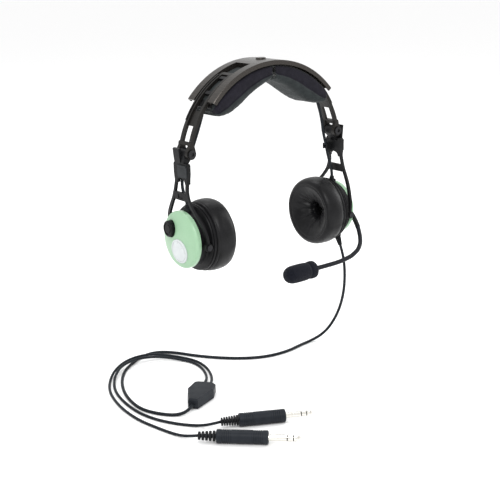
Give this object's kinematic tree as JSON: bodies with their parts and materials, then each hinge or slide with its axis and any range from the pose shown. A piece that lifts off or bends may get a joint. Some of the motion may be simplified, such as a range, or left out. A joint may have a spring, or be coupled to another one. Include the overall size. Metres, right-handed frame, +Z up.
{
  "type": "aviation headset",
  "caption": "Light on-ear aviation headset: padded curved headband, folding yokes, boom microphone, and a cable that splits to headphone and microphone plugs.",
  "frame": {"origin": "half way between the two ear cushions, on the line through the wearer's ears", "axes": "+X towards the wearer's left ear (the side with boom and cable), -Y the way the wearer faces, +Z up"},
  "size_m": [0.3096, 0.2734, 0.327],
  "materials": {
    "band_metal": "smooth satin grey paint over spring steel",
    "dark_metal": "matt black paint",
    "arm_metal": "satin charcoal",
    "black_plastic": "fine matt black moulding",
    "yoke_plastic": "satin charcoal moulding",
    "panel_plastic": "smooth mid-grey inlay",
    "sage_plastic": "satin-gloss pale green moulding",
    "pearl_plastic": "pearl white disc",
    "knob_plastic": "matt black with a ribbed edge",
    "slate_plastic": "dark slate moulding",
    "soft_rubber": "soft black strain relief",
    "cable_jacket": "dark slate jacket, satin",
    "boom_sleeve": "black ribbed sleeve",
    "leatherette": "soft black leatherette with soft folds",
    "pad_fabric": "dark grey-green suede underside, dark side strip",
    "mesh_cloth": "thin black cloth",
    "foam": "open-cell foam, very dark navy",
    "screw_steel": "dark steel screw heads",
    "nickel": "nickel plating"
  },
  "bodies": {
    "cup_left": {"ear_cushion_left": "leatherette", "baffle_left": "black_plastic", "speaker_cloth_left": "mesh_cloth", "speaker_left": "dark_metal", "cup_shell_left": "black_plastic", "cup_cover_left": "sage_plastic", "badge_left": "pearl_plastic", "cup_screws_left": "screw_steel", "lead_gland_left": "soft_rubber", "cable_gland": "soft_rubber", "main_cable": "cable_jacket", "splitter_base": "slate_plastic", "splitter_lid": "slate_plastic", "branch_cable_phones": "cable_jacket", "branch_cable_mic": "cable_jacket", "plug_relief_phones": "soft_rubber", "plug_relief_mic": "soft_rubber", "plug_body_phones": "slate_plastic", "plug_body_mic": "slate_plastic", "plug_shaft_phones": "nickel", "plug_shaft_mic": "nickel", "plug_rings_phones": "black_plastic", "plug_rings_mic": "black_plastic"},
    "yoke_left": {"yoke_left": "yoke_plastic", "yoke_panel_left": "panel_plastic", "pivot_screws_left": "screw_steel", "lead_lower_left": "cable_jacket"},
    "arm_left": {"arm_left": "arm_metal", "fold_pin_left": "screw_steel", "lead_upper_left": "cable_jacket"},
    "headband": {"top_plate": "band_metal", "pad_carrier": "dark_metal", "slide_guides": "black_plastic", "crown_button": "band_metal", "head_pad_left": "pad_fabric", "head_pad_right": "pad_fabric"},
    "arm_right": {"arm_right": "arm_metal", "fold_pin_right": "screw_steel", "lead_upper_right": "cable_jacket"},
    "yoke_right": {"yoke_right": "yoke_plastic", "yoke_panel_right": "panel_plastic", "pivot_screws_right": "screw_steel", "lead_lower_right": "cable_jacket"},
    "cup_right": {"ear_cushion_right": "leatherette", "baffle_right": "black_plastic", "speaker_cloth_right": "mesh_cloth", "speaker_right": "dark_metal", "cup_shell_right": "black_plastic", "cup_cover_right": "sage_plastic", "badge_right": "pearl_plastic", "cup_screws_right": "screw_steel", "lead_gland_right": "soft_rubber", "potentiometer": "dark_metal"},
    "knob": {"volume_knob": "knob_plastic"},
    "boom": {"boom_hub": "black_plastic", "boom_arm": "black_plastic", "boom_tube": "boom_sleeve", "mic_collar": "black_plastic", "mic_capsule": "dark_metal", "mic_muff": "foam"}
  },
  "joints": [
    {"name": "tilt_left", "type": "hinge", "parent": "cup_left", "child": "yoke_left", "pos_m": [0.0944, 0, -0.003], "axis": [0, 1, 0], "range_deg": [-8, 2], "deforming": ["lead_lower_left", "main_cable"]},
    {"name": "fold_left", "type": "hinge", "parent": "yoke_left", "child": "arm_left", "pos_m": [0.0955, 0, 0.0868], "axis": [0, 1, 0], "range_deg": [-90, 0], "deforming": ["lead_upper_left", "main_cable"]},
    {"name": "size_left", "type": "hinge", "parent": "arm_left", "child": "headband", "pos_m": [0, 0, 0.07], "axis": [0, 1, 0], "range_deg": [0, 10], "deforming": ["main_cable"]},
    {"name": "size_right", "type": "hinge", "parent": "headband", "child": "arm_right", "pos_m": [0, 0, 0.07], "axis": [0, 1, 0], "range_deg": [0, 10]},
    {"name": "fold_right", "type": "hinge", "parent": "arm_right", "child": "yoke_right", "pos_m": [-0.0955, 0, 0.0868], "axis": [0, -1, 0], "range_deg": [0, 90], "deforming": ["lead_upper_right"]},
    {"name": "tilt_right", "type": "hinge", "parent": "yoke_right", "child": "cup_right", "pos_m": [-0.0944, 0, -0.003], "axis": [0, 1, 0], "range_deg": [-8, 2], "deforming": ["lead_lower_right"]},
    {"name": "knob_turn", "type": "hinge", "parent": "cup_right", "child": "knob", "pos_m": [-0.1066, 0.0135, 0.01], "axis": [1, 0, 0], "range_deg": [0, 270]},
    {"name": "boom_swing", "type": "hinge", "parent": "cup_left", "child": "boom", "pos_m": [0.1066, 0.0135, 0.01], "axis": [1, 0, 0], "range_deg": [-90, 10]}
  ]
}
